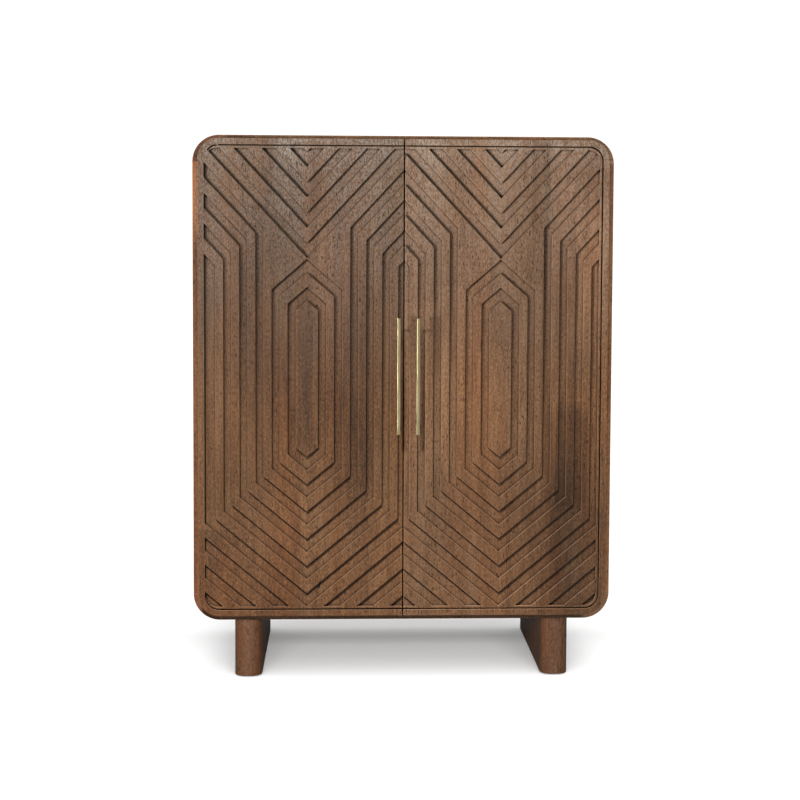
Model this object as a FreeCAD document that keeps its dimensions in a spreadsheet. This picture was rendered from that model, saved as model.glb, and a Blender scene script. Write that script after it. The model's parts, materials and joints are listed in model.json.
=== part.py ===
import FreeCAD, Part
import math
import os
import re
import Sketcher
from FreeCAD import Placement, Rotation, Vector

# A free-standing bar cabinet: a case with rounded corners on two plank legs, closed by two carved doors.
# Millimetres, Z up, the doors face towards -Y, and the origin is on the floor under the middle of the part.

SIZES = {
    # Case: panels joined by rounded corner blocks, with a back let into a rebate
    "case_width": 914,
    "case_height": 1058,
    "carcass_depth": 425,
    "panel_thick": 22,
    "corner_radius": 58,
    "rebate_width": 8,
    "back_thick": 8,
    "back_fit": 0.5,
    "spline_thick": 6,
    "spline_reach": 8,
    "spline_stop": 24,
    # Plank legs and the glides under them
    "leg_height": 131,
    "leg_thick": 60,
    "leg_inset": 88,
    "leg_setback": 8,
    "leg_round": 24,
    "glide_radius": 12,
    "glide_thick": 3,
    "glide_inset": 45,
    # Doors laid over the front of the case
    "door_thick": 22,
    "door_gap": 2,
    "side_inset": 13,
    "top_inset": 8,
    "bottom_inset": 13.5,
    "meeting_gap": 3,
    # Rim, groove and carved bands on the face of a door
    "rim_width": 13.5,
    "groove_width": 3,
    "groove_depth": 7.5,
    "band_stop": 4.5,
    "relief": 6,
    "pattern_reach": 208,
    "ring_first": 24.1,
    "ring_step": 17.3,
    "ring_low": 349.5,
    "ring_low_step": 29.9,
    "ring_high": 687.5,
    "ring_high_step": 30.3,
    "chevron_step": 32.6,
    "cross_land": 1.5,
    "low_slope_share": 0.83,
    "high_slope_share": 0.865,
    "chevron_slope_share": 1.08,
    # Bar handles on two posts each
    "bar_length": 250,
    "bar_width": 7.5,
    "bar_depth": 9,
    "bar_round": 1.6,
    "handle_standoff": 22,
    "handle_height": 540,
    "handle_reach_left": 11.5,
    "handle_reach_right": 30.5,
    "post_radius": 3.2,
    "post_inset": 30,
    "seat_room": 0.3,
    # Hinges, with the barrel let into the back corner of the door
    "barrel_radius": 3,
    "pin_radius": 1.3,
    "pin_fit": 0.05,
    "leaf_thick": 1.5,
    "leaf_height": 64,
    "door_leaf_width": 30,
    "wrap_depth": 26,
    "hinge_edge": 3.5,
    "hinge_end": 130,
    "knuckle_gap": 0.3,
    "notch_room": 1.2,
    "leaf_screw_share": 0.28,
    "leaf_middle_share": 0.6,
    # Magnetic catches, strike plates and bumpers
    "catch_start": 46,
    "catch_width": 44,
    "catch_depth": 30,
    "catch_height": 15,
    "strike_width": 28,
    "strike_height": 13,
    "strike_thick": 1.2,
    "bumper_radius": 3,
    "bumper_thick": 1.6,
    "bumper_start": 30,
    # Shelves and the pins under the loose one
    "shelf_thick": 20,
    "shelf_setback": 40,
    "shelf_play": 1.5,
    "dado_depth": 6,
    "fixed_shelf_height": 520,
    "loose_shelf_height": 250,
    "peg_radius": 2.5,
    "peg_reach": 9,
    "peg_inset": 50,
    "peg_pitch": 32,
    # Scalloped rails that hold lying bottles
    "rail_thick": 20,
    "rail_height": 42,
    "rail_front": 70,
    "rail_back": 90,
    "bottle_radius": 41,
    "bottle_rise": 12,
    "bottle_pitch": 92,
    # Rails that hang stemware under the top
    "stem_web": 14,
    "stem_flange": 62,
    "stem_flange_thick": 9,
    "stem_drop": 28,
    "stem_front": 50,
    "stem_back": 40,
    "stem_pitch": 94,
    # Screws
    "screw_shank": 1.5,
    "screw_head": 2.9,
    "screw_head_height": 1.5,
    "screw_short": 14,
    "screw_long": 30,
    "lag_shank": 3,
    "lag_head": 6,
    "lag_head_height": 4,
    "lag_length": 62,
    "handle_shank": 2,
    "handle_head": 3.8,
    "handle_head_height": 2.4,
    "handle_screw_length": 27,
    # Extra reach of every cutting shape
    "overrun": 2,
}

# Places worked out from the sizes. Distances named half, outer or axis_x are from the middle plane.
PLACES = {
    "back_y": "(carcass_depth + door_gap + door_thick + handle_standoff + bar_depth) / 2",
    "front_y": "back_y - carcass_depth",
    "rebate_y": "back_y - back_thick",
    "door_back_y": "front_y - door_gap",
    "door_front_y": "door_back_y - door_thick",
    "recess_y": "door_front_y + relief",
    "bar_back_y": "door_front_y - handle_standoff",
    "half_width": "case_width / 2",
    "inner_half": "half_width - panel_thick",
    "flat_half": "half_width - corner_radius",
    "inner_radius": "corner_radius - panel_thick",
    "case_low_z": "leg_height",
    "case_high_z": "case_low_z + case_height",
    "floor_z": "case_low_z + panel_thick",
    "roof_z": "case_high_z - panel_thick",
    "side_low_z": "case_low_z + corner_radius",
    "side_high_z": "case_high_z - corner_radius",
    "back_width": "2 * (inner_half + rebate_width - back_fit)",
    "back_height": "roof_z - floor_z + 2 * (rebate_width - back_fit)",
    "back_radius": "inner_radius + rebate_width - back_fit",
    "door_outer": "half_width - side_inset",
    "door_width": "door_outer - meeting_gap / 2",
    "door_low_z": "case_low_z + bottom_inset",
    "door_high_z": "case_high_z - top_inset",
    "door_height": "door_high_z - door_low_z",
    "door_radius": "corner_radius - side_inset",
    "axis_x": "door_outer - hinge_edge",
    "axis_y": "door_back_y - barrel_radius",
    "handle_z": "case_low_z + handle_height",
    "shelf_z": "floor_z + fixed_shelf_height",
    "loose_z": "floor_z + loose_shelf_height",
    "leg_outer": "half_width - leg_inset",
    "leg_middle": "leg_outer - leg_thick / 2",
    "leg_front_y": "front_y + leg_setback",
    "leg_depth": "carcass_depth - 2 * leg_setback",
    "leg_rise": "leg_height - glide_thick",
}

SIDES = {"left": -1, "right": 1}
HINGES = {
    "low": "door_low_z + hinge_end",
    "middle": "(door_low_z + door_high_z) / 2",
    "high": "door_high_z - hinge_end",
}
TURNS = {
    "x": Rotation(Vector(0, 1, 0), 90),
    "-x": Rotation(Vector(0, 1, 0), -90),
    "y": Rotation(Vector(1, 0, 0), -90),
    "-y": Rotation(Vector(1, 0, 0), 90),
    "z": Rotation(),
    "-z": Rotation(Vector(1, 0, 0), 180),
}
CLOSED_RINGS = 4
SIDE_RINGS = 11
LOW_CHEVRONS = 18
HIGH_CHEVRONS = 8
PEG_ROWS = 5
BOTTLES = 8
STEM_RAILS = 5
BACK_SCREW_SHARES = (0.1, 0.5, 0.9)
LEG_SCREW_SHARES = (0.15, 0.5, 0.85)
STEM_SCREW_SHARES = (0.15, 0.85)

doc = FreeCAD.newDocument("bar_cabinet")
sheet = doc.addObject("Spreadsheet::Sheet", "Sizes")
for row, (size_name, size_value) in enumerate(SIZES.items(), start=1):
    sheet.set(f"A{row}", size_name)
    sheet.set(f"B{row}", str(size_value))
    sheet.setAlias(f"B{row}", size_name)
doc.recompute()
places = doc.addObject("App::VarSet", "Places")
finished = []


# Helpers that bind sizes and places to the document

def linked(text):
    """An expression whose plain names point at the sheet or at the set of places."""
    def owner(match):
        word = match.group(0)
        if word in SIZES:
            return "Sizes." + word
        if word in PLACES:
            return "Places." + word
        return word
    return re.sub(r"[a-z_]+", owner, text)


def bind(item, field, text):
    item.setExpression(field, linked(text))


def read(word):
    """The number behind a size or a place."""
    if word in SIZES:
        return float(getattr(sheet, word))
    return float(getattr(places, word))


def put(item, x, y, z, turn="z"):
    item.Placement = Placement(Vector(), TURNS[turn])
    bind(item, "Placement.Base.x", x)
    bind(item, "Placement.Base.y", y)
    bind(item, "Placement.Base.z", z)


def node(name, item):
    item.Label = name
    finished.append(item)
    return item


def mirrored(side, inner, outer):
    """Low and high place of a span measured outwards from the middle plane."""
    if SIDES[side] > 0:
        return inner, outer
    return f"-({outer})", f"-({inner})"


def across(side, distance):
    """The place at a distance to one side of the middle plane."""
    return f"{SIDES[side]} * ({distance})"


def outwards(side):
    return "x" if SIDES[side] > 0 else "-x"


# Helpers that make shapes

def block(name, x, y, z):
    """A box between a low and a high place on each axis."""
    item = doc.addObject("Part::Box", name)
    for field, (low, high) in zip(("Length", "Width", "Height"), (x, y, z)):
        bind(item, field, f"({high}) - ({low})")
    put(item, x[0], y[0], z[0])
    return item


def rod(name, radius, length, at, turn="z"):
    item = doc.addObject("Part::Cylinder", name)
    bind(item, "Radius", radius)
    bind(item, "Height", length)
    put(item, *at, turn)
    return item


def fuse(name, items):
    item = doc.addObject("Part::MultiFuse", name)
    item.Shapes = items
    item.Refine = True
    return item


def group(name, items):
    item = doc.addObject("Part::Compound", name)
    item.Links = items
    return item


def cut(name, base, tools):
    item = doc.addObject("Part::Cut", name)
    item.Base = base
    item.Tool = tools[0] if len(tools) == 1 else group(name + "_cutters", tools)
    return item


def screw(name, at, turn, kind="screw", length="screw_short"):
    """A countersunk screw whose head is flush at the given place."""
    head = doc.addObject("Part::Cone", name + "_head")
    bind(head, "Radius1", f"{kind}_head")
    bind(head, "Radius2", f"{kind}_shank")
    bind(head, "Height", f"{kind}_head_height")
    put(head, *at, turn)
    shank = rod(name + "_shank", f"{kind}_shank", length, at, turn)
    return fuse(name, [head, shank])


def outline(sketch, wide, tall, radius, rounded):
    """A rectangle from the sketch's origin, with the chosen corners rounded.

    The corners go counter-clockwise from the origin: low left, low right, high right, high left.
    """
    w, t, r = read(wide), read(tall), read(radius)
    corners = [(0, 0), (w, 0), (w, t), (0, t)]
    headings = [(1, 0), (0, 1), (-1, 0), (0, -1)]
    lines = []
    for i in range(4):
        start, end = corners[i], corners[(i + 1) % 4]
        dx, dy = headings[i]
        lead = r if rounded[i] else 0
        tail = r if rounded[(i + 1) % 4] else 0
        first = Vector(start[0] + dx * lead, start[1] + dy * lead, 0)
        last = Vector(end[0] - dx * tail, end[1] - dy * tail, 0)
        lines.append(sketch.addGeometry(Part.LineSegment(first, last), False))
        sketch.addConstraint(Sketcher.Constraint("Vertical" if i % 2 else "Horizontal", lines[i]))
    arcs = []
    for i in range(4):
        before, after = lines[i - 1], lines[i]
        if not rounded[i]:
            sketch.addConstraint(Sketcher.Constraint("Coincident", before, 2, after, 1))
            continue
        into = headings[i - 1]
        out = headings[i]
        middle = Vector(corners[i][0] + r * (out[0] - into[0]), corners[i][1] + r * (out[1] - into[1]), 0)
        begin = math.pi + i * math.pi / 2
        circle = Part.Circle(middle, Vector(0, 0, 1), r)
        arc = sketch.addGeometry(Part.ArcOfCircle(circle, begin, begin + math.pi / 2), False)
        sketch.addConstraint(Sketcher.Constraint("Tangent", before, 2, arc, 1))
        sketch.addConstraint(Sketcher.Constraint("Tangent", arc, 2, after, 1))
        arcs.append(arc)
    sketch.addConstraint(Sketcher.Constraint("PointOnObject", lines[0], 1, -1))
    sketch.addConstraint(Sketcher.Constraint("PointOnObject", lines[3], 1, -2))
    sizes = [("wide", "DistanceX", lines[1], w, wide), ("tall", "DistanceY", lines[2], t, tall)]
    for title, kind, line, start_value, text in sizes:
        index = sketch.addConstraint(Sketcher.Constraint(kind, -1, 1, line, 1, start_value))
        sketch.renameConstraint(index, title)
        bind(sketch, "Constraints." + title, text)
    for arc in arcs[1:]:
        sketch.addConstraint(Sketcher.Constraint("Equal", arcs[0], arc))
    index = sketch.addConstraint(Sketcher.Constraint("Radius", arcs[0], r))
    sketch.renameConstraint(index, "round")
    bind(sketch, "Constraints.round", radius)


def padded(name, plane, wide, tall, radius, rounded, thick, at):
    """A body padded from a rounded outline. On XZ_Plane the pad grows towards -Y."""
    body = doc.addObject("PartDesign::Body", name)
    sketch = body.newObject("Sketcher::SketchObject", name + "_outline")
    support = [item for item in body.Origin.OriginFeatures if item.Role == plane][0]
    sketch.AttachmentSupport = (support, [""])
    sketch.MapMode = "FlatFace"
    outline(sketch, wide, tall, radius, rounded)
    pad = body.newObject("PartDesign::Pad", name + "_pad")
    pad.Profile = sketch
    bind(pad, "Length", thick)
    put(body, *at)
    return body


# Places

for place_name in PLACES:
    places.addProperty("App::PropertyFloat", place_name)
for place_name, place_text in PLACES.items():
    bind(places, place_name, place_text)
doc.recompute()


# Case

full_depth = ("front_y", "back_y")
spline_run = ("front_y + spline_stop", "rebate_y - spline_stop")
rebate_run = ("rebate_y", "back_y + overrun")


def make_splines():
    """Tongues in the joints between the straight panels and the corner blocks."""
    splines = []
    middle = "panel_thick / 2"
    for side in SIDES:
        thick = mirrored(side, f"half_width - {middle} - spline_thick / 2",
                         f"half_width - {middle} + spline_thick / 2")
        reach = mirrored(side, "flat_half - spline_reach", "flat_half + spline_reach")
        for joint in ("side_low_z", "side_high_z"):
            tall = (f"{joint} - spline_reach", f"{joint} + spline_reach")
            splines.append(block("side_spline", thick, spline_run, tall))
        for level in (f"case_low_z + {middle}", f"case_high_z - {middle}"):
            tall = (f"{level} - spline_thick / 2", f"{level} + spline_thick / 2")
            splines.append(block("flat_spline", reach, spline_run, tall))
    return node("corner_splines", group("splines", splines))


def make_back_screws():
    """Screws through the edge of the back into the shoulder of the rebate."""
    screws = []
    edge = "rebate_width / 2"
    for share in BACK_SCREW_SHARES:
        side_z = f"side_low_z + (side_high_z - side_low_z) * {share}"
        flat_x = f"flat_half * (2 * {share} - 1)"
        for side in SIDES:
            at = (across(side, f"inner_half + {edge}"), "back_y", side_z)
            screws.append(screw("back_screw", at, "-y", length="screw_long"))
        for level in (f"floor_z - {edge}", f"roof_z + {edge}"):
            screws.append(screw("back_screw", (flat_x, "back_y", level), "-y", length="screw_long"))
    return node("back_screws", group("back_screw_set", screws))


def make_side(side, cutters):
    name = "case_side_" + side
    tall = ("side_low_z", "side_high_z")
    blank = block(name + "_blank", mirrored(side, "inner_half", "half_width"), full_depth, tall)
    rebate = block(name + "_rebate", mirrored(side, "inner_half - overrun", "inner_half + rebate_width"),
                   rebate_run, ("side_low_z - overrun", "side_high_z + overrun"))
    rebated = cut(name + "_rebated", blank, [rebate])
    return node(name, cut(name + "_panel", rebated, cutters))


def make_flat(name, tall, rebate_tall, cutters):
    """The top or the bottom of the case."""
    blank = block(name + "_blank", ("-flat_half", "flat_half"), full_depth, tall)
    rebate = block(name + "_rebate", ("-flat_half - overrun", "flat_half + overrun"), rebate_run,
                   rebate_tall)
    rebated = cut(name + "_rebated", blank, [rebate])
    return node(name, cut(name + "_panel", rebated, cutters))


def make_corner(side, level, splines):
    """A quarter of a ring, with the rebate carried round its inside."""
    name = f"case_corner_{level}_{side}"
    centre_z = "side_low_z" if level == "bottom" else "side_high_z"
    quarter = {("bottom", "right"): 0, ("bottom", "left"): 1, ("top", "left"): 2, ("top", "right"): 3}
    turn = Rotation(Vector(0, 0, 1), 90 * quarter[(level, side)])
    outer = rod(name + "_outer", "corner_radius", "carcass_depth",
                (across(side, "flat_half"), "front_y", centre_z), "y")
    outer.Angle = 90
    outer.Placement = Placement(outer.Placement.Base, TURNS["y"].multiply(turn))
    hollow = rod(name + "_hollow", "inner_radius", "carcass_depth + 2 * overrun",
                 (across(side, "flat_half"), "front_y - overrun", centre_z), "y")
    rebate = rod(name + "_rebate", "inner_radius + rebate_width", "back_thick + overrun",
                 (across(side, "flat_half"), "rebate_y", centre_z), "y")
    ring = cut(name + "_ring", cut(name + "_quarter", outer, [hollow]), [rebate])
    return node(name, cut(name + "_block", ring, [splines]))


def make_back(screws):
    at = ("-back_width / 2", "back_y", "floor_z - rebate_width + back_fit")
    blank = padded("back_blank", "XZ_Plane", "back_width", "back_height", "back_radius",
                   (True, True, True, True), "back_thick", at)
    return node("back_panel", cut("back_board", blank, [screws]))


# Legs

def make_legs(screws):
    glides = []
    for side in SIDES:
        name = "leg_" + side
        low_x = mirrored(side, "leg_outer - leg_thick", "leg_outer")[0]
        blank = padded(name + "_blank", "XY_Plane", "leg_thick", "leg_depth", "leg_round",
                       (True, True, True, True), "leg_rise", (low_x, "leg_front_y", "glide_thick"))
        node(name, cut(name + "_plank", blank, [screws]))
        for y in ("leg_front_y + glide_inset", "leg_front_y + leg_depth - glide_inset"):
            at = (across(side, "leg_middle"), y, "0")
            glides.append(rod("glide", "glide_radius", "glide_thick", at))
    node("floor_glides", group("glides", glides))


def make_leg_screws():
    screws = []
    for side in SIDES:
        for share in LEG_SCREW_SHARES:
            at = (across(side, "leg_middle"), f"leg_front_y + leg_depth * {share}", "floor_z")
            screws.append(screw("leg_screw", at, "-z", "lag", "lag_length"))
    return node("leg_screws", group("leg_screw_set", screws))


# Inside

def make_shelves():
    """The shelf let into the sides, the loose shelf on pegs, and the holes for the pegs."""
    fixed = block("fixed_board", ("-inner_half - dado_depth", "inner_half + dado_depth"),
                  ("front_y + shelf_setback", "rebate_y"), ("shelf_z", "shelf_z + shelf_thick"))
    node("fixed_shelf", fixed)
    loose = block("loose_board", ("-inner_half + shelf_play", "inner_half - shelf_play"),
                  ("front_y + shelf_setback", "rebate_y - shelf_play"), ("loose_z", "loose_z + shelf_thick"))
    node("adjustable_shelf", loose)
    pegs = []
    holes = {side: [] for side in SIDES}
    for side in SIDES:
        for y in ("front_y + shelf_setback + peg_inset", "rebate_y - peg_inset"):
            peg_at = (across(side, "inner_half - peg_reach"), y, "loose_z - peg_radius")
            pegs.append(rod("peg", "peg_radius", "2 * peg_reach", peg_at, outwards(side)))
            for row in range(PEG_ROWS):
                level = f"loose_z - peg_radius + {row - PEG_ROWS // 2} * peg_pitch"
                hole_at = (across(side, "inner_half - overrun"), y, level)
                holes[side].append(rod("peg_hole", "peg_radius + pin_fit", "peg_reach + overrun",
                                       hole_at, outwards(side)))
    node("shelf_pins", group("pegs", pegs))
    return fixed, holes


def make_bottle_rails():
    lows = {"front": "front_y + shelf_setback + rail_front", "back": "rebate_y - rail_back - rail_thick"}
    for title, low_y in lows.items():
        name = "bottle_rail_" + title
        blank = block(name + "_blank", ("-flat_half", "flat_half"), (low_y, f"{low_y} + rail_thick"),
                      ("floor_z", "floor_z + rail_height"))
        scallops = []
        for i in range(BOTTLES):
            at = (f"{i - (BOTTLES - 1) / 2} * bottle_pitch", f"{low_y} - overrun",
                  "floor_z + rail_height + bottle_rise")
            scallops.append(rod("scallop", "bottle_radius", "rail_thick + 2 * overrun", at, "y"))
        node(name, cut(name + "_board", blank, scallops))


def make_stem_rails():
    """Rails of T section under the top, and the screws that hold them."""
    run = ("front_y + stem_front", "rebate_y - stem_back")
    rails = []
    screws = []
    for i in range(STEM_RAILS):
        middle = f"{i - (STEM_RAILS - 1) / 2} * stem_pitch"
        low_z = "roof_z - stem_drop"
        web = block("stem_web", (f"{middle} - stem_web / 2", f"{middle} + stem_web / 2"), run,
                    (low_z, "roof_z"))
        flange = block("stem_flange", (f"{middle} - stem_flange / 2", f"{middle} + stem_flange / 2"), run,
                       (low_z, f"{low_z} + stem_flange_thick"))
        for share in STEM_SCREW_SHARES:
            y = f"front_y + stem_front + (rebate_y - stem_back - front_y - stem_front) * {share}"
            screws.append(screw("stem_screw", (middle, y, low_z), "z", length="stem_drop + panel_thick / 2"))
        rails.append(fuse("stem_section", [web, flange]))
    screw_set = node("stemware_screws", group("stem_screw_set", screws))
    for i, rail in enumerate(rails):
        node(f"stemware_rail_{i + 1}", cut("stem_rail", rail, [screw_set]))
    return screw_set


def make_catches():
    screws = []
    bodies = {}
    for side in SIDES:
        bodies[side] = block("catch_body", mirrored(side, "catch_start", "catch_start + catch_width"),
                             ("front_y", "front_y + catch_depth"), ("roof_z - catch_height", "roof_z"))
        for share in STEM_SCREW_SHARES:
            at = (across(side, f"catch_start + catch_width * {share}"), "front_y + catch_depth / 2",
                  "roof_z - catch_height")
            screws.append(screw("catch_screw", at, "z", length="screw_long"))
    screw_set = node("catch_screws", group("catch_screw_set", screws))
    for side in SIDES:
        node("magnetic_catch_" + side, cut("catch", bodies[side], [screw_set]))
    return screw_set


# Hinges

def make_hinge_pins():
    pins = []
    for side in SIDES:
        for level in HINGES.values():
            at = (across(side, "axis_x"), "axis_y", f"{level} - leaf_height / 2")
            pins.append(rod("pin", "pin_radius", "leaf_height", at))
    node("hinge_pins", group("pins", pins))


def knuckle(side, level, low, high):
    """A piece of the barrel between two shares of the leaf's height."""
    low_z = f"{level} + leaf_height * ({low}) + knuckle_gap / 2"
    return rod("knuckle", "barrel_radius", f"leaf_height * ({high} - ({low})) - knuckle_gap",
               (across(side, "axis_x"), "axis_y", low_z))


def bore(side, level):
    at = (across(side, "axis_x"), "axis_y", f"{level} - leaf_height / 2 - overrun")
    return rod("bore", "pin_radius + pin_fit", "leaf_height + 2 * overrun", at)


def make_case_leaf(side, title, level):
    """The leaf on the front edge of the side, wrapped on to its inner face."""
    tall = (f"{level} - leaf_height / 2", f"{level} + leaf_height / 2")
    web_tall = (f"{level} - leaf_height / 6 + knuckle_gap / 2",
                f"{level} + leaf_height / 6 - knuckle_gap / 2")
    front = block("leaf_front", mirrored(side, "inner_half - leaf_thick", "axis_x + barrel_radius"),
                  ("front_y - leaf_thick", "front_y"), tall)
    wrap = block("leaf_wrap", mirrored(side, "inner_half - leaf_thick", "inner_half"),
                 ("front_y - leaf_thick", "front_y + wrap_depth"), tall)
    web = block("leaf_web", mirrored(side, "axis_x + barrel_radius - leaf_thick", "axis_x + barrel_radius"),
                ("axis_y", "front_y"), web_tall)
    barrel = knuckle(side, level, "-1 / 6", "1 / 6")
    screws = []
    for sign in (-1, 1):
        at = (across(side, "inner_half - leaf_thick"), "front_y + wrap_depth * leaf_middle_share",
              f"{level} + {sign} * leaf_height * leaf_screw_share")
        screws.append(screw("case_leaf_screw", at, outwards(side)))
    leaf = fuse("case_leaf", [front, wrap, web, barrel])
    node(f"hinge_case_leaf_{side}_{title}", cut("case_leaf_bored", leaf, [bore(side, level)] + screws))
    return screws


def make_door_leaf(side, title, level):
    """The leaf let into the back of the door, cleared round the middle knuckle."""
    tall = (f"{level} - leaf_height / 2", f"{level} + leaf_height / 2")
    plate = block("leaf_plate", mirrored(side, "axis_x - door_leaf_width", "axis_x"),
                  ("door_back_y - leaf_thick", "door_back_y"), tall)
    room = block("leaf_room", mirrored(side, "axis_x - barrel_radius - knuckle_gap", "axis_x + overrun"),
                 ("door_back_y - leaf_thick - overrun", "door_back_y + overrun"),
                 (f"{level} - leaf_height / 6 - knuckle_gap / 2",
                  f"{level} + leaf_height / 6 + knuckle_gap / 2"))
    barrels = [knuckle(side, level, "-1 / 2", "-1 / 6"), knuckle(side, level, "1 / 6", "1 / 2")]
    screws = []
    for sign in (-1, 1):
        at = (across(side, "axis_x - door_leaf_width * leaf_middle_share"), "door_back_y",
              f"{level} + {sign} * leaf_height * leaf_screw_share")
        screws.append(screw("door_leaf_screw", at, "-y"))
    leaf = fuse("door_leaf", [cut("leaf_plate_cleared", plate, [room])] + barrels)
    node(f"hinge_door_leaf_{side}_{title}", cut("door_leaf_bored", leaf, [bore(side, level)] + screws))
    return plate, screws


def hinge_notch(side, level):
    """Room for the barrel in the back corner of the door, open to the back and to the edge."""
    return block("notch", mirrored(side, "axis_x - barrel_radius - notch_room", "door_outer + overrun"),
                 ("axis_y - barrel_radius - notch_room", "door_back_y + overrun"),
                 (f"{level} - leaf_height / 2 - knuckle_gap", f"{level} + leaf_height / 2 + knuckle_gap"))


# Carved face of a door. Points are (distance from the meeting edge, height above the door's low edge).

def field_face(side, margin, outer_margin, radius):
    """The face of a door inside a margin, run past the meeting edge and rounded at its outer corners."""
    inner, outer = -read("overrun"), read("door_width") - outer_margin
    low, high = margin, read("door_height") - margin
    half = radius * (1 - math.sqrt(0.5))
    points = {
        "a": (inner, low), "b": (outer - radius, low), "bc": (outer - half, low + half),
        "c": (outer, low + radius), "d": (outer, high - radius), "de": (outer - half, high - half),
        "e": (outer - radius, high), "f": (inner, high),
    }
    spots = {key: Vector(SIDES[side] * u, 0, z) for key, (u, z) in points.items()}
    edges = [
        Part.makeLine(spots["a"], spots["b"]),
        Part.Arc(spots["b"], spots["bc"], spots["c"]).toShape(),
        Part.makeLine(spots["c"], spots["d"]),
        Part.Arc(spots["d"], spots["de"], spots["e"]).toShape(),
        Part.makeLine(spots["e"], spots["f"]),
        Part.makeLine(spots["f"], spots["a"]),
    ]
    return Part.Face(Part.Wire(edges))


def carved_face(side, half_points):
    """A face mirrored about the pattern's middle line from the points on its outer half."""
    middle = read("pattern_reach")
    right = [(middle + v, z) for v, z in half_points]
    left = [(middle - v, z) for v, z in reversed(half_points) if v]
    loop = [Vector(SIDES[side] * u, 0, z) for u, z in right + left]
    return Part.Face(Part.makePolygon(loop + loop[:1]))


def ring_path(k, reach):
    """The half line of ring k, from its low tip up its side and out along a chevron."""
    low_tip = read("ring_low") - k * read("ring_low_step")
    half = read("ring_first") + k * read("ring_step")
    if k >= SIDE_RINGS:
        return [(0, low_tip), (reach, low_tip + read("low_slope_share") * reach)]
    points = [(0, low_tip), (half, low_tip + read("low_slope_share") * half)]
    high_tip = read("ring_high") + min(k, CLOSED_RINGS - 1) * read("ring_high_step")
    if k < CLOSED_RINGS:
        return points + [(half, high_tip - read("high_slope_share") * half), (0, high_tip)]
    start = high_tip - (k - CLOSED_RINGS + 1) * read("chevron_step")
    slope = read("chevron_slope_share")
    return points + [(half, start + slope * half), (reach, start + slope * reach)]


def band_faces(side):
    """The recessed bands: every second band of the closed rings, the side rings and the chevrons."""
    reach = read("case_width")
    faces = []
    for k in range(0, CLOSED_RINGS, 2):
        inner, outer = carved_face(side, ring_path(k, reach)), carved_face(side, ring_path(k + 1, reach))
        faces.append(outer.cut(inner))
    for k in range(CLOSED_RINGS, LOW_CHEVRONS, 2):
        faces.append(carved_face(side, ring_path(k + 1, reach) + ring_path(k, reach)[::-1]))
    crossing = read("ring_high") + (CLOSED_RINGS - 1) * read("ring_high_step") + read("cross_land")
    rise = read("chevron_slope_share") * reach
    for n in range(0, HIGH_CHEVRONS, 2):
        low, high = [crossing + i * read("chevron_step") for i in (n, n + 1)]
        faces.append(carved_face(side, [(0, low), (reach, low + rise), (reach, high + rise), (0, high)]))
    return faces


def outer_strip(side):
    """The part of a door's face from the start of its outer corners to past its outer edge."""
    near, far = read("door_width") - read("door_radius"), read("door_width") + read("overrun")
    low, high = -read("overrun"), read("door_height") + read("overrun")
    corners = [(near, low), (far, low), (far, high), (near, high), (near, low)]
    return Part.Face(Part.makePolygon([Vector(SIDES[side] * u, 0, z) for u, z in corners]))


def make_carving(side):
    """Everything cut from the face of a door.

    The groove runs all round the right door's field. At the left door's outer edge the bands run on to
    the rim, and the groove is cut at their ends alone.
    """
    rim, groove = read("rim_width"), read("groove_width")
    stop, into = read("band_stop"), Vector(0, 1, 0)
    line = rim + groove
    outer_stop = 0 if side == "left" else stop
    corner = read("door_radius")
    bands = band_faces(side)
    ring = field_face(side, rim, rim, corner - rim).cut(field_face(side, line, line, corner - line))
    field = field_face(side, line + stop, line + outer_stop, corner - line - stop)
    grooves = [ring]
    if side == "left":
        strip = outer_strip(side)
        run = ring.common(strip)
        grooves = [ring.cut(strip)] + [run.common(band) for band in bands]
    sunk = [(face, "groove_depth") for face in grooves] + [(band.common(field), "relief") for band in bands]
    overrun = read("overrun")
    cutters = []
    for face, depth in sunk:
        for piece in face.Faces:
            cutters.append(piece.translated(into * -overrun).extrude(into * (read(depth) + overrun)))
    item = doc.addObject("Part::Feature", "carving_" + side)
    item.Shape = cutters[0].multiFuse(cutters[1:])
    put(item, across(side, "meeting_gap / 2"), "door_front_y", "door_low_z")
    return item


# Doors and what rides on them

def make_handle(side):
    """The bar, its posts and the screws through the door. Returns what they cut from the door."""
    middle = across(side, "handle_reach_" + side)
    at = (f"{middle} - bar_width / 2", "bar_back_y - bar_depth", "handle_z - bar_length / 2")
    node("handle_bar_" + side, padded("bar_" + side, "XY_Plane", "bar_width", "bar_depth", "bar_round",
                                      (True, True, True, True), "bar_length", at))
    posts, screws, seats = [], [], []
    for sign in (-1, 1):
        level = f"handle_z + {sign} * (bar_length / 2 - post_inset)"
        posts.append(rod("post", "post_radius", "recess_y - bar_back_y", (middle, "bar_back_y", level), "y"))
        screws.append(screw("handle_screw", (middle, "door_back_y", level), "-y", "handle",
                            "handle_screw_length"))
        seats.append(rod("seat", "post_radius + seat_room", "relief + overrun",
                         (middle, "door_front_y - overrun", level), "y"))
    screw_set = node("handle_screws_" + side, group("handle_screw_set", screws))
    node("handle_posts_" + side, cut("posts", group("post_blanks", posts), [screw_set]))
    return [screw_set] + seats


def make_strike(side):
    """The plate that meets the magnet, held by one screw."""
    middle = "catch_start + catch_width / 2"
    level = "roof_z - catch_height / 2"
    plate = block("strike", mirrored(side, f"{middle} - strike_width / 2", f"{middle} + strike_width / 2"),
                  ("door_back_y", "door_back_y + strike_thick"),
                  (f"{level} - strike_height / 2", f"{level} + strike_height / 2"))
    fixing = screw("strike_screw", (across(side, middle), "door_back_y + strike_thick", level), "-y")
    node("strike_plate_" + side, cut("strike_plate", plate, [fixing]))
    return fixing


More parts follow.
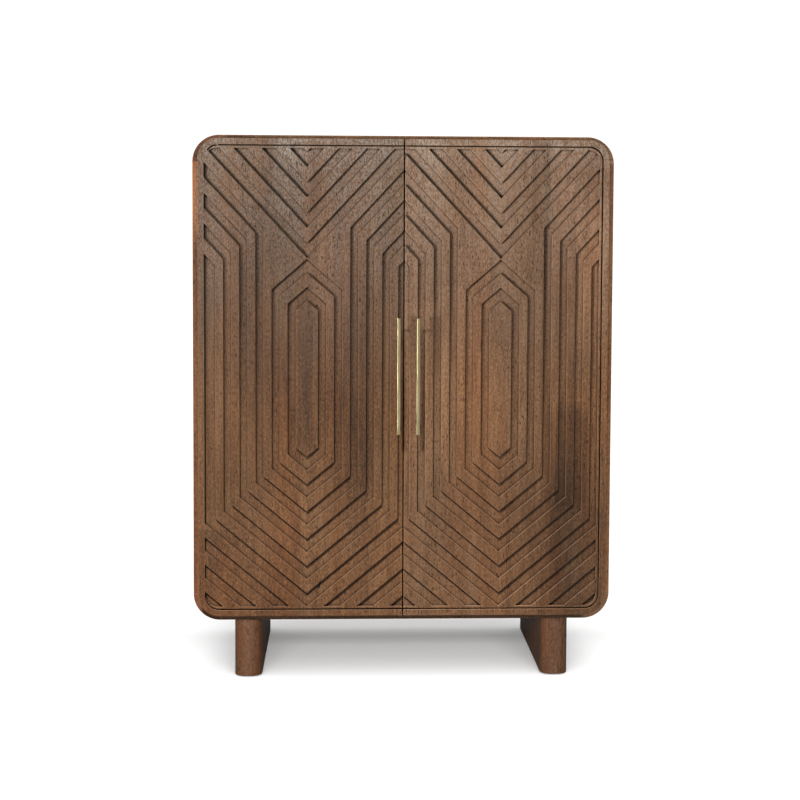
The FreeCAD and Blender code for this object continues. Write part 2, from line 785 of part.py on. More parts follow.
def make_bumpers(side):
    bumpers = []
    for level in ("(floor_z + door_low_z) / 2", "(roof_z + door_high_z) / 2"):
        at = (across(side, "bumper_start"), "door_back_y", level)
        bumpers.append(rod("bumper", "bumper_radius", "bumper_thick", at, "y"))
    node("door_bumpers_" + side, group("bumpers", bumpers))


def make_door(side):
    name = "door_panel_" + side
    low_x = mirrored(side, "meeting_gap / 2", "door_outer")[0]
    outer_left = side == "left"
    rounded = (outer_left, not outer_left, not outer_left, outer_left)
    blank = padded(name + "_blank", "XZ_Plane", "door_width", "door_height", "door_radius", rounded,
                   "door_thick", (low_x, "door_back_y", "door_low_z"))
    screws = [make_strike(side)]
    mortises, notches = [], []
    for title, level in HINGES.items():
        plate, leaf_screws = make_door_leaf(side, title, level)
        mortises.append(plate)
        notches.append(hinge_notch(side, level))
        screws += leaf_screws
    screw_set = node("door_screws_" + side, group("door_screw_set", screws))
    carved = cut(name + "_carved", blank, [make_carving(side)])
    let_in = cut(name + "_notched", cut(name + "_mortised", carved, mortises), notches)
    drilled = cut(name + "_drilled", let_in, make_handle(side))
    node(name, cut(name + "_board", drilled, [screw_set]))
    make_bumpers(side)


# Assembly

spline_set = make_splines()
back_screw_set = make_back_screws()
leg_screw_set = make_leg_screws()
fixed_board, peg_holes = make_shelves()
make_bottle_rails()
stem_screw_set = make_stem_rails()
catch_screw_set = make_catches()
make_hinge_pins()
case_leaf_screws = []
for side_name in SIDES:
    side_screws = []
    for hinge_title, hinge_level in HINGES.items():
        side_screws += make_case_leaf(side_name, hinge_title, hinge_level)
    case_leaf_screws += side_screws
    make_side(side_name, [spline_set, back_screw_set, fixed_board] + peg_holes[side_name] + side_screws)
    for level_name in ("bottom", "top"):
        make_corner(side_name, level_name, spline_set)
node("hinge_screws_case", group("case_leaf_screw_set", case_leaf_screws))
make_flat("case_bottom", ("case_low_z", "floor_z"), ("floor_z - rebate_width", "floor_z + overrun"),
          [spline_set, back_screw_set, leg_screw_set])
make_flat("case_top", ("roof_z", "case_high_z"), ("roof_z - overrun", "roof_z + rebate_width"),
          [spline_set, back_screw_set, stem_screw_set, catch_screw_set])
make_back(back_screw_set)
make_legs(leg_screw_set)
for side_name in SIDES:
    make_door(side_name)
doc.recompute()

for item in doc.Objects:
    if "Invalid" in item.State or "Error" in item.State:
        raise RuntimeError(f"{item.Label} failed: {item.State}")
for item in finished:
    if item.Shape.isNull() or not item.Shape.isValid() or not item.Shape.Solids:
        raise RuntimeError(f"{item.Label} has no valid solid")
os.makedirs("parts", exist_ok=True)
for item in finished:
    item.Shape.exportStep(f"parts/{item.Label}.step")
print(f"{len(finished)} nodes written")
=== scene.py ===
import json
import math
from typing import NamedTuple

import bmesh
import bpy
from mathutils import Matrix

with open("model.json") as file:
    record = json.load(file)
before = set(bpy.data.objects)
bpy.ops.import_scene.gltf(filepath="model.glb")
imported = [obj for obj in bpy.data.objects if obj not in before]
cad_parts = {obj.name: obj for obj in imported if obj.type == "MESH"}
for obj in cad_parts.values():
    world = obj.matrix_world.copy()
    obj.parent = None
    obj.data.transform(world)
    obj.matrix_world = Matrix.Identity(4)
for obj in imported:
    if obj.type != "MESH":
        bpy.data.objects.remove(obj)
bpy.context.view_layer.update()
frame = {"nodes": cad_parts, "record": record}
nodes = frame["nodes"]
scene = bpy.context.scene

# Camera, from the photograph's vanishing points, in metres and degrees, with its lens in millimetres
CAMERA_PLACE = (-0.130, -3.392, 0.967)
CAMERA_DOWN = 3.23
CAMERA_RIGHT = 2.17
CAMERA_ROLL = 0.25
CAMERA_LENS = 66.4
CAMERA_SENSOR = 36.0
CAMERA_SHIFT_Y = -0.0975
CAMERA_REACH = 200.0

# Inside boards whose edges are eased, in metres and degrees. Corners within the seam's reach are joined
# first, so that neighbouring faces share their edges.
EASED_BOARDS = ("fixed_shelf", "adjustable_shelf", "bottle_rail_front", "bottle_rail_back")
EASED_BY = 0.001
EASED_STEPS = 2
SHARP_ANGLE = 35
SEAM_REACH = 0.00001

# Wood tones, as linear colours: dark fibre, middle, light fibre
LEFT_TONES = ((0.033, 0.014, 0.005), (0.092, 0.043, 0.018), (0.168, 0.090, 0.042))
RIGHT_TONES = ((0.050, 0.022, 0.009), (0.143, 0.069, 0.031), (0.260, 0.141, 0.072))
CORNER_TONES = ((0.050, 0.017, 0.006), (0.105, 0.040, 0.016), (0.165, 0.072, 0.032))
PANEL_TONES = ((0.062, 0.023, 0.009), (0.130, 0.056, 0.024), (0.210, 0.103, 0.050))
EDGE_TONES = ((0.050, 0.022, 0.009), (0.120, 0.062, 0.031), (0.205, 0.116, 0.064))
LEG_TONES = ((0.031, 0.013, 0.005), (0.068, 0.030, 0.013), (0.109, 0.053, 0.026))
INNER_TONES = ((0.062, 0.030, 0.014), (0.130, 0.068, 0.036), (0.210, 0.120, 0.068))
BACK_TONES = ((0.060, 0.031, 0.016), (0.110, 0.061, 0.034), (0.160, 0.094, 0.056))
# Colours of the painted sheen on each door, greyish, linear
LEFT_SHEEN = (0.275, 0.228, 0.187)
RIGHT_SHEEN = (0.330, 0.262, 0.206)

# Width and length of the glued staves, in metres
SLIM_STAVE = (0.075, 0.9)
CASE_STAVE = (0.09, 1.4)
INNER_STAVE = (0.10, 1.4)
BACK_STAVE = (0.30, 2.0)

# The span that holds most values of a noise
NOISE_SPAN = (0.3, 0.7)


class Graph:
    """A small helper that builds one material's nodes. Sockets are linked and plain values are set."""

    # The mix node's sockets for colours, which share their names with its other sockets
    MIX_SHARE = 0
    MIX_FIRST = 6
    MIX_SECOND = 7
    MIX_RESULT = 2

    def __init__(self, name):
        self.material = bpy.data.materials.new(name)
        self.material.use_nodes = True
        self.tree = self.material.node_tree
        self.tree.nodes.clear()
        self.coords = self.add("ShaderNodeTexCoord").outputs["Object"]

    def add(self, kind, inputs=None, **settings):
        made = self.tree.nodes.new(kind)
        for key, value in settings.items():
            setattr(made, key, value)
        for key, value in (inputs or {}).items():
            if isinstance(value, bpy.types.NodeSocket):
                self.tree.links.new(value, made.inputs[key])
            else:
                made.inputs[key].default_value = value
        return made

    def stretch(self, scale, shift=(0, 0, 0)):
        settings = {"Vector": self.coords, "Scale": scale, "Location": shift}
        return self.add("ShaderNodeMapping", settings).outputs["Vector"]

    def noise(self, vector, scale=1.0, detail=4.0, rough=0.55, warp=0.0):
        settings = {
            "Vector": vector, "Scale": scale, "Detail": detail, "Roughness": rough, "Distortion": warp,
        }
        return self.add("ShaderNodeTexNoise", settings).outputs["Fac"]

    def math(self, operation, first, second=0.0):
        return self.add("ShaderNodeMath", {0: first, 1: second}, operation=operation).outputs["Value"]

    def span(self, value, low, high, to_low=0.0, to_high=1.0, smooth=True):
        """The value moved from one span to another, held at both ends."""
        settings = {"Value": value, "From Min": low, "From Max": high, "To Min": to_low, "To Max": to_high}
        kind = "SMOOTHSTEP" if smooth else "LINEAR"
        return self.add("ShaderNodeMapRange", settings, interpolation_type=kind).outputs["Result"]

    def ramp(self, value, stops):
        made = self.add("ShaderNodeValToRGB", {"Fac": value})
        elements = made.color_ramp.elements
        while len(elements) < len(stops):
            elements.new(0.5)
        for element, (place, colour) in zip(elements, stops):
            element.position = place
            element.color = (*colour, 1)
        return made.outputs["Color"]

    def two_tones(self, value, dark, light):
        """A ramp from one colour to another over the span of a noise."""
        return self.ramp(value, tuple(zip(NOISE_SPAN, (dark, light))))

    def mix(self, share, first, second, blend="MIX"):
        inputs = {self.MIX_SHARE: share}
        for index, colour in ((self.MIX_FIRST, first), (self.MIX_SECOND, second)):
            plain = not isinstance(colour, bpy.types.NodeSocket)
            inputs[index] = (*colour, 1) if plain else colour
        made = self.add("ShaderNodeMix", data_type="RGBA", blend_type=blend, inputs=inputs)
        return made.outputs[self.MIX_RESULT]

    def axes(self):
        made = self.add("ShaderNodeSeparateXYZ", {"Vector": self.coords})
        return made.outputs["X"], made.outputs["Y"], made.outputs["Z"]

    def bump(self, height, strength, distance, under=None):
        settings = {"Height": height, "Strength": strength, "Distance": distance}
        if under:
            settings["Normal"] = under
        return self.add("ShaderNodeBump", settings).outputs["Normal"]

    def finish(self, **inputs):
        shader = self.add("ShaderNodeBsdfPrincipled", {k.replace("_", " "): v for k, v in inputs.items()})
        self.add("ShaderNodeOutputMaterial", {"Surface": shader.outputs["BSDF"]})
        return self.material


# Wood

class Layer(NamedTuple):
    """Noise that runs with the grain. Its scales along and across the grain are per metre."""
    along: float
    across: float
    detail: float
    rough: float
    warp: float = 0.0
    shift: tuple = (0, 0, 0)


LAYERS = {
    "figure": Layer(along=0.9, across=11.0, detail=3.0, rough=0.5, warp=0.6),
    "streaks": Layer(along=3.0, across=75.0, detail=5.0, rough=0.62, warp=0.3),
    "threads": Layer(along=20.0, across=190.0, detail=3.0, rough=0.6),
    "fibre": Layer(along=140.0, across=340.0, detail=2.0, rough=0.6),
    "cloud": Layer(along=2.0, across=5.0, detail=3.0, rough=0.5),
    "warmth": Layer(along=1.6, across=12.0, detail=3.0, rough=0.5, shift=(7.3, 2.9, 5.1)),
    "holes": Layer(along=75.0, across=330.0, detail=2.0, rough=0.5),
    "hole_areas": Layer(along=3.0, across=14.0, detail=2.0, rough=0.5, shift=(3.1, 1.7, 0.4)),
}

# How much each layer counts in the tone, and how far the tones reach to both sides of the middle
TONE_SHARES = {"streaks": 0.50, "rings": 0.10, "threads": 0.45, "fibre": 1.10, "cloud": 0.50}
TONE_REACH = 0.36
RING_COUNT = 9.0

# Redder patches
WARM_SPAN = (0.38, 0.66)
WARM_SHARE = 0.65
WARM_SHADE = (1.12, 0.91, 0.72)

# Pores: where they open, how dark they are beside the dark fibre, and how rough
HOLE_SPAN = (0.59, 0.67)
HOLE_AREA_SPAN = (0.35, 0.58)
PORE_SHADE = 0.32
PORE_ROUGHNESS = 0.2

# Painted shade in the corners, darker where another face is close: how far off another face it reaches, in
# metres, and how dark it is
CORNER_SHADE_REACH = 0.007
CORNER_SHADE_SPAN = (0.35, 0.88)
CORNER_SHADE_SHARE = 0.95
CORNER_SHADE_TONE = 0.25

# Edges: the radius that they look rounded by, in metres, and how pale they are made, partly as wear and
# partly as a painted highlight
EDGE_RADIUS = 0.0020
EDGE_SPAN = (0.998, 0.90)
OPEN_SPAN = (0.60, 0.90)
WEAR_AND_HIGHLIGHT_SHARES = (0.25, 0.70)
WEAR_AND_HIGHLIGHT_SHADE = 1.7
EDGE_SAMPLES = 6

# Surface: roughness from dull to worn streaks, and the depth of the relief, in metres
WOOD_ROUGHNESS = (0.62, 0.50)
WOOD_SHINE = 0.22
FIBRE_RELIEF = 0.6
PORE_RELIEF = 1.5
RELIEF_STRENGTH = 0.35
RELIEF_DEPTH = 0.0004

# Numbers that set the staves of one row off from each other and from the next row
STAVE_SLIP = 7.0
ROW_SEED = 13.7
STEP_SEED = 5.3


def scaled(colour, factor):
    return tuple(factor * v for v in colour)


def grain(g, axis, layer):
    """One layer of noise, drawn out along the grain."""
    scale = [layer.across] * 3
    scale["xyz".index(axis)] = layer.along
    return g.noise(g.stretch(tuple(scale), layer.shift), 1.0, layer.detail, layer.rough, layer.warp)


def stave_tone(g, axis, width, length):
    """A tone for each glued stave, steady over one stave and different from its neighbours."""
    x, y, z = g.axes()
    run = {"x": x, "y": y, "z": z}[axis]
    side = {"x": y, "y": x, "z": x}[axis]
    row = g.math("FLOOR", g.math("DIVIDE", side, width))
    slip = g.add("ShaderNodeTexWhiteNoise", {"W": row}, noise_dimensions="1D").outputs["Value"]
    place = g.math("ADD", g.math("DIVIDE", run, length), g.math("MULTIPLY", slip, STAVE_SLIP))
    step = g.math("FLOOR", place)
    seed = g.math("ADD", g.math("MULTIPLY", row, ROW_SEED), g.math("MULTIPLY", step, STEP_SEED))
    return g.add("ShaderNodeTexWhiteNoise", {"W": seed}, noise_dimensions="1D").outputs["Value"]


def fibre_colour(g, layers, stave, stave_share, tones):
    """The bare wood: the layers added up, laid over the tones and made redder in patches."""
    rings = g.math("PINGPONG", g.math("MULTIPLY", layers["figure"], RING_COUNT), 1.0)
    values = {**layers, "rings": rings, "stave": stave}
    shares = {**TONE_SHARES, "stave": stave_share}
    total = None
    for key, share in shares.items():
        weighed = g.math("MULTIPLY", values[key], share)
        total = weighed if total is None else g.math("ADD", total, weighed)
    middle = sum(shares.values()) / 2
    place = g.span(total, middle - TONE_REACH, middle + TONE_REACH, smooth=False)
    colour = g.ramp(place, tuple(zip((0, 0.5, 1), tones)))
    warm = g.span(layers["warmth"], *WARM_SPAN, 0.0, WARM_SHARE)
    return g.mix(warm, colour, WARM_SHADE, "MULTIPLY")


def worn_and_highlit_edges(g, colour, light, close, cloud, rounded):
    """Pale wood on the edges that stick out: partly rubbed wear, partly a painted highlight."""
    true = g.add("ShaderNodeNewGeometry").outputs["Normal"]
    facing = g.add("ShaderNodeVectorMath", {0: rounded, 1: true}, operation="DOT_PRODUCT").outputs["Value"]
    edge = g.math("MULTIPLY", g.span(facing, *EDGE_SPAN), g.span(close, *OPEN_SPAN))
    worn_and_highlit = g.math("MULTIPLY", edge, g.span(cloud, *NOISE_SPAN, *WEAR_AND_HIGHLIGHT_SHARES))
    return g.mix(worn_and_highlit, colour, scaled(light, WEAR_AND_HIGHLIGHT_SHADE))


def wood(name, tones, axis, stave=SLIM_STAVE, stave_share=0.25, painted_sheen=None, marks=(), pores=0.8):
    """Oiled wood with fibre, figure, staves, pores, painted shade in the corners, and pale edges that are
    partly wear and partly a painted highlight.
    """
    g = Graph(name)
    dark, _, light = tones
    layers = {key: grain(g, axis, layer) for key, layer in LAYERS.items()}
    colour = fibre_colour(g, layers, stave_tone(g, axis, *stave), stave_share, tones)
    # A painted sheen, stronger towards the top
    if painted_sheen:
        colour = painted_sheen(g, colour)

    holes = g.span(layers["holes"], *HOLE_SPAN)
    pore = g.math("MULTIPLY", holes, g.span(layers["hole_areas"], *HOLE_AREA_SPAN))
    colour = g.mix(g.math("MULTIPLY", pore, pores), colour, scaled(dark, PORE_SHADE))
    for mark in marks:
        colour = mark(g, colour)

    # Painted shade: the colour darkens towards the dark tone where ambient occlusion finds another face
    # close by
    close = g.add("ShaderNodeAmbientOcclusion", {"Distance": CORNER_SHADE_REACH}, samples=EDGE_SAMPLES).outputs["AO"]
    rounded = g.add("ShaderNodeBevel", {"Radius": EDGE_RADIUS}, samples=EDGE_SAMPLES).outputs["Normal"]
    painted_corner_shade = g.span(close, *CORNER_SHADE_SPAN, CORNER_SHADE_SHARE, 0.0)
    colour = g.mix(painted_corner_shade, colour, scaled(dark, CORNER_SHADE_TONE))
    # Pale edges, partly wear and partly a painted highlight
    colour = worn_and_highlit_edges(g, colour, light, close, layers["cloud"], rounded)

    rough = g.math("ADD", g.span(layers["streaks"], *NOISE_SPAN, *WOOD_ROUGHNESS, smooth=False),
                   g.math("MULTIPLY", pore, PORE_ROUGHNESS))
    raised = g.math("ADD", g.math("MULTIPLY", layers["fibre"], FIBRE_RELIEF), layers["streaks"])
    relief = g.math("SUBTRACT", raised, g.math("MULTIPLY", pore, PORE_RELIEF))
    normal = g.bump(relief, RELIEF_STRENGTH, RELIEF_DEPTH, rounded)
    return g.finish(Base_Color=colour, Roughness=rough, Normal=normal, Specular_IOR_Level=WOOD_SHINE)


# Marks in the wood. Heights and places are in metres, shades are factors on the colour.

# The painted sheen, a greyish veil that stands in for light from above: heights that it rises between, with
# its share below and above them, and the patches and grains of noise that catch less or more of it
SHEEN_RISE = (0.55, 1.20, 0.0, 0.34)
SHEEN_HEAD = (1.10, 1.18, 0.0, 0.20)
SHEEN_PATCH_SCALE = (16.0, 16.0, 3.0)
SHEEN_PATCHES = (0.25, 0.75, 0.5, 1.2)
SHEEN_GRAIN_SCALE = (380.0, 380.0, 190.0)
SHEEN_GRAIN_SHIFT = (1.3, 4.1, 2.2)
SHEEN_GRAINS = (*NOISE_SPAN, 0.30, 1.70)

# A toned board's fade at its left and at its foot, and how far its ends wander
BOARD_LEFT_FADE = 0.002
BOARD_FOOT_FADE = 0.03
BOARD_WANDER = 0.05
BOARD_WANDER_SCALE = (30.0, 30.0, 6.0)

# The right door's darker foot, from its upper limit down
FOOT_SPAN = (0.64, 0.36)
FOOT_SHADE = (0.60, 0.61, 0.62)

# The front lipping of the left side: its depth, the height where a painted highlight makes it pale, and its
# shades
LIPPING_SPAN = (-0.168, -0.176)
LIPPING_HIGHLIGHT_SPAN = (0.93, 1.02)
LIPPING_HIGHLIGHT_SHADE = (2.10, 2.04, 1.90)
RED_SHADE = (0.86, 0.76, 0.66)

# A drying crack, in units of its own size
CRACK_WANDER = 2.4
CRACK_WANDER_SCALE = (90.0, 90.0, 60.0)
CRACK_LEAN = -0.6
CRACK_FADE = (1.1, 0.35)
CRACK_TONE = (0.012, 0.006, 0.003)


def painted_top_sheen(sheen_colour):
    """A painted sheen on a door: greyish, caught in the fibre, and stronger towards the top, where light
    from above falls.
    """
    def draw(g, colour):
        z = g.axes()[2]
        patches = g.noise(g.stretch(SHEEN_PATCH_SCALE), detail=4.0, rough=0.6)
        grains = g.noise(g.stretch(SHEEN_GRAIN_SCALE, SHEEN_GRAIN_SHIFT), detail=1.0, rough=0.5)
        rise = g.math("ADD", g.span(z, *SHEEN_RISE), g.span(z, *SHEEN_HEAD))
        caught = g.math("MULTIPLY", g.span(patches, *SHEEN_PATCHES), g.span(grains, *SHEEN_GRAINS))
        return g.mix(g.math("MULTIPLY", rise, caught), colour, sheen_colour)
    return draw


def wandering(g, scale, reach):
    """A soft noise that swings to both sides of zero."""
    noise = g.noise(g.stretch(scale), detail=2.0)
    return g.math("MULTIPLY", g.math("SUBTRACT", noise, 0.5), reach)


def toned_board(low, high, soft, shade):
    """A glued board that is darker or paler than the rest. Its corners lie in the plane of the door, and
    it fades out over some length at its right and at its head."""
    def draw(g, colour):
        x, _, z = g.axes()
        wavy_z = g.math("ADD", z, wandering(g, BOARD_WANDER_SCALE, BOARD_WANDER))
        left = g.span(x, low[0], low[0] + BOARD_LEFT_FADE)
        right = g.span(x, high[0], high[0] - soft[0])
        foot = g.span(wavy_z, low[1], low[1] + BOARD_FOOT_FADE)
        head = g.span(wavy_z, high[1], high[1] - soft[1])
        share = g.math("MULTIPLY", g.math("MULTIPLY", left, right), g.math("MULTIPLY", foot, head))
        return g.mix(share, colour, shade, "MULTIPLY")
    return draw


def darker_foot(g, colour):
    """The lower part of the right door, which is darker than the rest of it."""
    share = g.span(g.axes()[2], *FOOT_SPAN)
    return g.mix(share, colour, FOOT_SHADE, "MULTIPLY")


def lipping_with_highlit_head(g, colour):
    """The front lipping of the left side, with a painted highlight at its head and redder below."""
    _, y, z = g.axes()
    front = g.span(y, *LIPPING_SPAN)
    share = g.math("MULTIPLY", g.span(z, *LIPPING_HIGHLIGHT_SPAN), front)
    redder = g.mix(front, colour, RED_SHADE, "MULTIPLY")
    # Painted highlight: the head of the lipping made pale, as where light from the upper left falls
    painted_highlight = g.mix(front, colour, LIPPING_HIGHLIGHT_SHADE, "MULTIPLY")
    return g.mix(share, redder, painted_highlight)


def check_crack(place, size):
    """A small dark drying crack that runs with the grain."""
    def draw(g, colour):
        x, _, z = g.axes()
        slip = wandering(g, CRACK_WANDER_SCALE, CRACK_WANDER)
        flat_x = g.math("DIVIDE", g.math("SUBTRACT", x, place[0]), size[0])
        flat_z = g.math("DIVIDE", g.math("SUBTRACT", z, place[1]), size[1])
        lean = g.math("ADD", g.math("ADD", flat_x, slip), g.math("MULTIPLY", flat_z, CRACK_LEAN))
        reach = g.math("ADD", g.math("MULTIPLY", lean, lean), g.math("MULTIPLY", flat_z, flat_z))
        return g.mix(g.span(reach, *CRACK_FADE), colour, CRACK_TONE)
    return draw


# Other materials

# Linear colours of the patina on brass, each with its place on the ramp, and of zinc
BRASS_STOPS = ((0.25, (0.36, 0.29, 0.15)), (0.55, (0.47, 0.39, 0.22)), (0.8, (0.53, 0.46, 0.29)))
ZINC_TONES = ((0.38, 0.39, 0.40), (0.60, 0.61, 0.61))

# Scales of the noise on metal, per metre, and the span of brushing and patina added up
BRUSH_SCALE = (1500.0, 1500.0, 18.0)
PATINA_SCALE = (70.0, 70.0, 25.0)
SPANGLE_SCALE = 260.0
BRASS_SPAN = (0.6, 1.4)

# Roughness from one end of the noise to the other
BRASS_ROUGHNESS = (0.34, 0.48)
ZINC_ROUGHNESS = (0.30, 0.46)

# Depths of the finest relief on metal and on moulded pieces, in metres
METAL_RELIEF = 0.0001
MOULDED_RELIEF = 0.0002


def brass():
    """Satin brass, brushed along its length, with a thin patina."""
    g = Graph("satin_brass")
    brushed = g.noise(g.stretch(BRUSH_SCALE), detail=3.0, rough=0.6)
    patina = g.noise(g.stretch(PATINA_SCALE), detail=4.0, rough=0.6)
    colour = g.ramp(patina, BRASS_STOPS)
    rough = g.span(g.math("ADD", brushed, patina), *BRASS_SPAN, *BRASS_ROUGHNESS, smooth=False)
    normal = g.bump(brushed, strength=0.25, distance=METAL_RELIEF)
    return g.finish(Base_Color=colour, Metallic=1.0, Roughness=rough, Normal=normal)


def zinc_steel():
    """Zinc-plated steel with a fine spangle."""
    g = Graph("zinc_steel")
    spangle = g.noise(g.coords, SPANGLE_SCALE, detail=3.0, rough=0.6)
    colour = g.two_tones(spangle, *ZINC_TONES)
    rough = g.span(spangle, *NOISE_SPAN, *ZINC_ROUGHNESS, smooth=False)
    normal = g.bump(spangle, strength=0.2, distance=METAL_RELIEF)
    return g.finish(Base_Color=colour, Metallic=1.0, Roughness=rough, Normal=normal)


def moulded(name, dark, light, roughness, scale):
    """Moulded plastic, rubber or pressed felt: a fine speckle with its own roughness and bump."""
    g = Graph(name)
    speckle = g.noise(g.coords, scale, detail=4.0, rough=0.65)
    colour = g.two_tones(speckle, dark, light)
    rough = g.span(speckle, *NOISE_SPAN, *roughness, smooth=False)
    normal = g.bump(speckle, strength=0.3, distance=MOULDED_RELIEF)
    return g.finish(Base_Color=colour, Roughness=rough, Normal=normal)


CRACK = check_crack(place=(-0.182, 0.212), size=(0.0035, 0.012))
# Each toned board: lower left and upper right corner, fade at its right and head, and shade
LEFT_BOARD = toned_board((-0.229, 0.50), (-0.195, 0.90), (0.004, 0.12), (0.75, 0.74, 0.76))
RIGHT_BOARDS = (
    toned_board((0.320, 0.15), (0.425, 0.50), (0.070, 0.12), (0.78, 0.78, 0.78)),
    toned_board((0.331, 0.37), (0.405, 0.62), (0.040, 0.04), (0.64, 0.64, 0.64)),
    toned_board((0.275, 0.86), (0.315, 1.30), (0.003, 0.12), (0.84, 0.84, 0.84)),
    toned_board((0.372, 0.59), (0.402, 1.10), (0.003, 0.12), (1.30, 1.30, 1.28)),
    toned_board((0.400, 0.36), (0.500, 1.10), (0.010, 0.12), (1.42, 1.42, 1.40)),
)

MATERIALS = {
    "door_left": wood("left_door_wood", LEFT_TONES, "z", painted_sheen=painted_top_sheen(LEFT_SHEEN),
                      marks=(LEFT_BOARD, CRACK)),
    "door_right": wood("right_door_wood", RIGHT_TONES, "z", painted_sheen=painted_top_sheen(RIGHT_SHEEN),
                       marks=(darker_foot, *RIGHT_BOARDS)),
    "corners": wood("corner_block_wood", CORNER_TONES, "x", stave_share=0.12),
    "side_left": wood("left_side_wood", PANEL_TONES, "z", CASE_STAVE, marks=(lipping_with_highlit_head,)),
    "side_right": wood("right_side_wood", EDGE_TONES, "z", CASE_STAVE),
    "flats": wood("case_flat_wood", EDGE_TONES, "x", CASE_STAVE),
    "legs": wood("leg_wood", LEG_TONES, "z", stave_share=0.15),
    "inside": wood("inner_wood", INNER_TONES, "x", INNER_STAVE),
    "back": wood("back_board_wood", BACK_TONES, "z", BACK_STAVE, pores=0.4),
    "brass": brass(),
    "steel": zinc_steel(),
    "plastic": moulded("catch_plastic", dark=(0.010, 0.008, 0.007), light=(0.022, 0.018, 0.015),
                       roughness=(0.42, 0.58), scale=900.0),
    "rubber": moulded("bumper_rubber", dark=(0.52, 0.52, 0.50), light=(0.62, 0.62, 0.60),
                      roughness=(0.55, 0.75), scale=700.0),
    "felt": moulded("glide_felt", dark=(0.030, 0.025, 0.022), light=(0.055, 0.047, 0.042),
                    roughness=(0.90, 1.00), scale=1600.0),
}
SLOT_MATERIAL = {
    "inner_wood": "inside", "back_board": "back", "brass": "brass",
    "steel": "steel", "dark_plastic": "plastic", "rubber": "rubber", "felt_pad": "felt",
}


def material_of(name, slot):
    """The material of a node, from its slot and, for the outside of the case, from its place."""
    if slot == "carved_wood":
        return MATERIALS["door_left" if name.endswith("left") else "door_right"]
    if name.startswith("case_corner") and name.endswith("left"):
        return MATERIALS["corners"]
    if name.startswith("case_side"):
        return MATERIALS["side_left" if name.endswith("left") else "side_right"]
    if name.startswith("leg_") and slot == "case_wood":
        return MATERIALS["legs"]
    if slot == "case_wood":
        return MATERIALS["flats"]
    return MATERIALS[SLOT_MATERIAL[slot]]


def ease_edges(piece):
    """Joins the corners that neighbouring faces share, then rounds the sharp edges."""
    seams = piece.modifiers.new("join_faces", "WELD")
    seams.merge_threshold = SEAM_REACH
    edges = piece.modifiers.new("ease_edges", "BEVEL")
    edges.width = EASED_BY
    edges.segments = EASED_STEPS
    edges.limit_method = "ANGLE"
    edges.angle_limit = math.radians(SHARP_ANGLE)
    edges.harden_normals = True


def dress_nodes():
    """A material on every CAD node, and eased edges on the boards inside."""
    for part in frame["record"]["subparts"]:
        name = part["node"]
        piece = nodes[name]
        piece.data.materials.clear()
        piece.data.materials.append(material_of(name, part["material_slot"]))
        if name in EASED_BOARDS:
            ease_edges(piece)


# Studio, in metres and watts

FLOOR_RADIUS = 30.0
FLOOR_SIDES = 96
FLOOR_LIFT = 0.15
FLOOR_BOUNCE = (0.35, 0.35, 0.35)
PAPER_TONES = ((0.86, 0.86, 0.86), (0.88, 0.88, 0.88))
PAPER_SCALE = 40.0
PAPER_ROUGHNESS = 0.9
PAPER_SHINE = 0.1
AMBIENT_LEVEL = 0.11
BACKDROP_LEVEL = 1.1
WHITE = (1, 1, 1, 1)

# The parts of the case that the doors shade from the side light
SHADED_EDGES = ("case_top", "case_side_right", "case_corner_top_left", "case_corner_top_right",
                "case_corner_bottom_right")

# A wide, low light panel
LIGHT_PANEL = {"shape": "RECTANGLE", "size": 3.0, "size_y": 0.8}


def floor_paper():
    """White paper. What the lens sees of it is lifted, as in a bright studio, and what it throws back
    isn't."""
    g = Graph("floor_paper")
    speckle = g.noise(g.coords, PAPER_SCALE, detail=3.0, rough=0.6)
    paper = g.two_tones(speckle, *PAPER_TONES)
    seen = g.add("ShaderNodeLightPath").outputs["Is Camera Ray"]
    colour = g.mix(seen, FLOOR_BOUNCE, paper)
    glow = g.math("MULTIPLY", seen, FLOOR_LIFT)
    return g.finish(Base_Color=colour, Roughness=PAPER_ROUGHNESS, Specular_IOR_Level=PAPER_SHINE,
                    Emission_Color=WHITE, Emission_Strength=glow)


def make_floor():
    mesh = bpy.data.meshes.new("studio_floor")
    shape = bmesh.new()
    bmesh.ops.create_circle(shape, cap_ends=True, segments=FLOOR_SIDES, radius=FLOOR_RADIUS)
    shape.to_mesh(mesh)
    shape.free()
    mesh.materials.append(floor_paper())
    floor = bpy.data.objects.new("studio_floor", mesh)
    scene.collection.objects.link(floor)
    return floor


def make_world():
    """A white backdrop whose light on the object is softer than it looks."""
    world = bpy.data.worlds.new("studio")
    scene.world = world
    world.use_nodes = True
    tree = world.node_tree
    tree.nodes.clear()
    path = tree.nodes.new("ShaderNodeLightPath")
    level = tree.nodes.new("ShaderNodeMapRange")
    level.inputs["To Min"].default_value = AMBIENT_LEVEL
    level.inputs["To Max"].default_value = BACKDROP_LEVEL
    back = tree.nodes.new("ShaderNodeBackground")
    back.inputs["Color"].default_value = WHITE
    out = tree.nodes.new("ShaderNodeOutputWorld")
    tree.links.new(path.outputs["Is Camera Ray"], level.inputs["Value"])
    tree.links.new(level.outputs["Result"], back.inputs["Strength"])
    tree.links.new(back.outputs["Background"], out.inputs["Surface"])


def add_light(name, kind, energy, place, target, **settings):
    """A light at a place, turned towards a target."""
    data = bpy.data.lights.new(name, kind)
    data.energy = energy
    for key, value in settings.items():
        setattr(data, key, value)
    light = bpy.data.objects.new(name, data)
    light.location = place
    aim = [t - p for t, p in zip(target, place)]
    flat = math.hypot(aim[0], aim[1])
    light.rotation_euler = (math.atan2(flat, -aim[2]), 0, math.atan2(-aim[0], aim[1]))
    scene.collection.objects.link(light)
    return light


def choose_receivers(light, items, state):
    """Leaves some items out of what a light shines on, or keeps the light to those items."""
    group = bpy.data.collections.new(light.name + "_receivers")
    for item in items:
        group.objects.link(item)
    light.light_linking.receiver_collection = group
    for entry in group.collection_objects:
        entry.light_linking.link_state = state


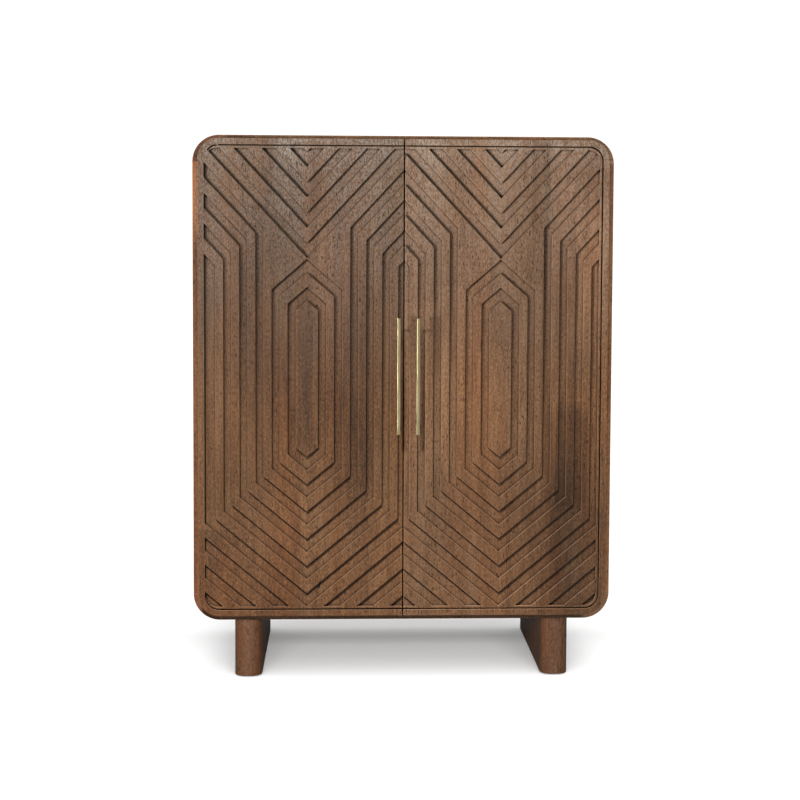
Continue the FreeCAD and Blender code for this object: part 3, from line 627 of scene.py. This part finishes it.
def light_doors(floor, legs):
    """The top of the doors is lit from the lower left, and their foot from above."""
    side = add_light("side_key", "SPOT", energy=3500.0, place=(-4.2, -3.6, 0.3), target=(0.3, -0.2, 1.52),
                     spot_size=math.radians(26), spot_blend=1.0, shadow_soft_size=0.7)
    choose_receivers(side, [floor], "EXCLUDE")
    high = add_light("high_key", "SPOT", energy=3350.0, place=(-1.2, -3.4, 4.2), target=(-0.1, -0.2, -0.45),
                     spot_size=math.radians(19.5), spot_blend=1.0, shadow_soft_size=0.35)
    high.scale = (2.0, 1.0, 1.0)
    choose_receivers(high, [floor, *legs], "EXCLUDE")


def light_case(floor, legs):
    """Fills for the edges that the doors shade, for the back and for the legs."""
    edge = add_light("edge_fill", "AREA", energy=340.0, place=(3.4, -3.3, 2.2), target=(0.2, -0.2, 0.9),
                     shape="DISK", size=1.6)
    # This light gives no shine, or the top would mirror it in views from behind.
    edge.visible_glossy = False
    choose_receivers(edge, [nodes[name] for name in SHADED_EDGES], "INCLUDE")
    back = add_light("back_fill", "AREA", energy=320.0, place=(0.0, 4.5, 1.6), target=(0.0, 0.0, 0.6),
                     shape="DISK", size=2.5)
    choose_receivers(back, [floor, *legs], "EXCLUDE")
    foot = add_light("leg_fill", "AREA", energy=250.0, place=(-0.4, -3.4, 1.3), target=(0.0, 0.0, 0.0),
                     **LIGHT_PANEL)
    choose_receivers(foot, legs, "INCLUDE")


def light_floor(floor):
    """Light from the front and from above, which leaves a soft shadow under the case."""
    low = add_light("low_front", "AREA", energy=135.0, place=(0.0, -3.4, 1.3), target=(0.0, 0.0, 0.0),
                    **LIGHT_PANEL)
    choose_receivers(low, [floor], "INCLUDE")
    overhead = add_light("overhead", "SUN", energy=3.7, place=(0.0, -1.4, 4.0), target=(0.0, 0.0, 0.0),
                         angle=math.radians(110))
    choose_receivers(overhead, [floor], "INCLUDE")


def make_studio():
    floor = make_floor()
    legs = [nodes["leg_left"], nodes["leg_right"]]
    make_world()
    light_doors(floor, legs)
    light_case(floor, legs)
    light_floor(floor)


def make_camera():
    data = bpy.data.cameras.new("photo_camera")
    data.lens = CAMERA_LENS
    data.sensor_width = CAMERA_SENSOR
    data.shift_y = CAMERA_SHIFT_Y
    data.clip_end = CAMERA_REACH
    camera = bpy.data.objects.new("photo_camera", data)
    camera.location = CAMERA_PLACE
    camera.rotation_euler = [math.radians(v) for v in (90 - CAMERA_DOWN, -CAMERA_ROLL, -CAMERA_RIGHT)]
    scene.collection.objects.link(camera)
    scene.camera = camera


dress_nodes()
make_studio()
make_camera()
scene.view_settings.view_transform = "Standard"
